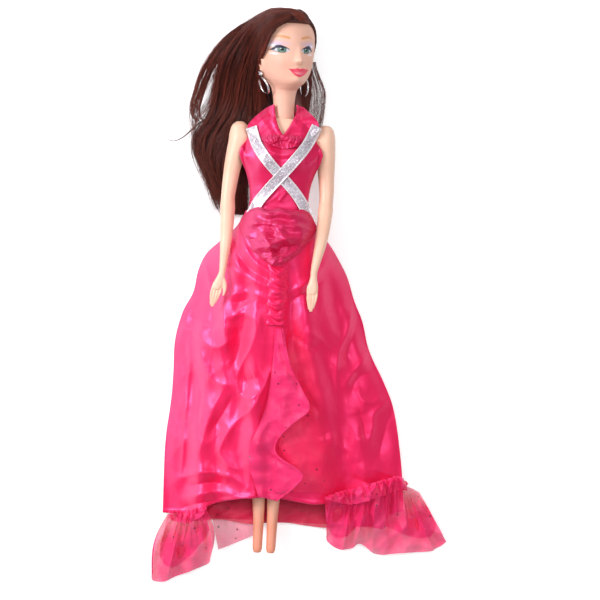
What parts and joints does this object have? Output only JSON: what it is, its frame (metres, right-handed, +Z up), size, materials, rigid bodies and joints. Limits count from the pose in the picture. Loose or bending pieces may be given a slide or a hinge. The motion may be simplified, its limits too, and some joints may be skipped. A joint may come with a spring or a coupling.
{
  "type": "fashion doll",
  "caption": "Slim fashion doll lying on its back in a long halter evening gown with net flounces, swept hair and hoop earrings.",
  "frame": {"origin": "middle of the lying doll's outline, at the table's height", "axes": "+X to the viewer's right, the doll's own left; +Y towards the head; +Z up from the table, out of the chest"},
  "size_m": [0.16, 0.3126, 0.0394],
  "materials": {
    "body_plastic": "smooth warm skin-toned plastic",
    "head_vinyl": "soft skin-toned vinyl",
    "pin_steel": "plain steel",
    "hair_fibre": "glossy dark auburn fibre",
    "silver": "bright silver",
    "satin": "hot pink satin with a violet sheen",
    "dotted_tulle": "fine crimson net with glitter dots",
    "glitter_ribbon": "silver glitter ribbon",
    "tape_fabric": "off-white hook and loop tape"
  },
  "bodies": {
    "torso": {"torso_front_shell": "body_plastic", "torso_back_shell": "body_plastic", "neck_peg": "body_plastic", "hip_pin": "pin_steel", "bodice_front": "satin", "bodice_back_left": "satin", "bodice_back_right": "satin", "back_closure_tape": "tape_fabric", "collar_left": "satin", "collar_right": "satin", "halter_strap": "satin", "neckline_gather": "satin", "ribbon_over": "glitter_ribbon", "ribbon_under": "glitter_ribbon", "skirt_front_left": "satin", "skirt_front_right": "satin", "skirt_back": "satin", "lining": "dotted_tulle", "waist_drape": "satin", "centre_ruche": "satin", "centre_flounce": "dotted_tulle", "net_overlay": "dotted_tulle", "hem_ruffle_left": "dotted_tulle", "hem_ruffle_right": "dotted_tulle", "hem_net_middle": "dotted_tulle"},
    "head": {"head_shell": "head_vinyl", "hair_cap": "hair_fibre", "earring_stud_left": "silver", "earring_stud_right": "silver", "hair_right_sweep": "hair_fibre", "hair_left_wisps": "hair_fibre", "hair_curl": "hair_fibre"},
    "hoop_left": {"earring_hoop_left": "silver"},
    "hoop_right": {"earring_hoop_right": "silver"},
    "arm_left": {"arm_left": "body_plastic"},
    "arm_right": {"arm_right": "body_plastic"},
    "leg_left": {"leg_left": "body_plastic"},
    "leg_right": {"leg_right": "body_plastic"}
  },
  "joints": [
    {"name": "head_turn", "type": "hinge", "parent": "torso", "child": "head", "pos_m": [-0.0198, 0.09682, 0.018], "axis": [0, 0.9925, 0.1219], "range_deg": [-87, 33], "deforming": ["hair_right_sweep", "hair_left_wisps", "hair_curl"]},
    {"name": "hoop_left_swing", "type": "hinge", "parent": "head", "child": "hoop_left", "pos_m": [-0.00895, 0.11974, 0.01185], "axis": [0.454, -0.1086, 0.8844], "range_deg": [-20, 60]},
    {"name": "hoop_right_swing", "type": "hinge", "parent": "head", "child": "hoop_right", "pos_m": [-0.03338, 0.11823, 0.02421], "axis": [0.454, -0.1086, 0.8844], "range_deg": [-84, 0]},
    {"name": "shoulder_left", "type": "hinge", "parent": "torso", "child": "arm_left", "pos_m": [-0.0198, 0.08482, 0.018], "axis": [-1, 0, 0], "range_deg": [0, 120]},
    {"name": "shoulder_right", "type": "hinge", "parent": "torso", "child": "arm_right", "pos_m": [-0.0198, 0.08482, 0.018], "axis": [-1, 0, 0], "range_deg": [0, 120]},
    {"name": "hip_left", "type": "hinge", "parent": "torso", "child": "leg_left", "pos_m": [-0.0198, 0.02082, 0.018], "axis": [-1, 0, 0], "range_deg": [0, 90], "deforming": ["skirt_front_left", "skirt_front_right", "skirt_back", "lining", "waist_drape", "centre_ruche", "centre_flounce", "net_overlay", "hem_ruffle_left", "hem_ruffle_right", "hem_net_middle"]},
    {"name": "hip_right", "type": "hinge", "parent": "torso", "child": "leg_right", "pos_m": [-0.0198, 0.02082, 0.018], "axis": [-1, 0, 0], "range_deg": [0, 90]}
  ],
  "couplings": [
    {"joint": "hip_right", "follows": "hip_left", "ratio": 1}
  ]
}
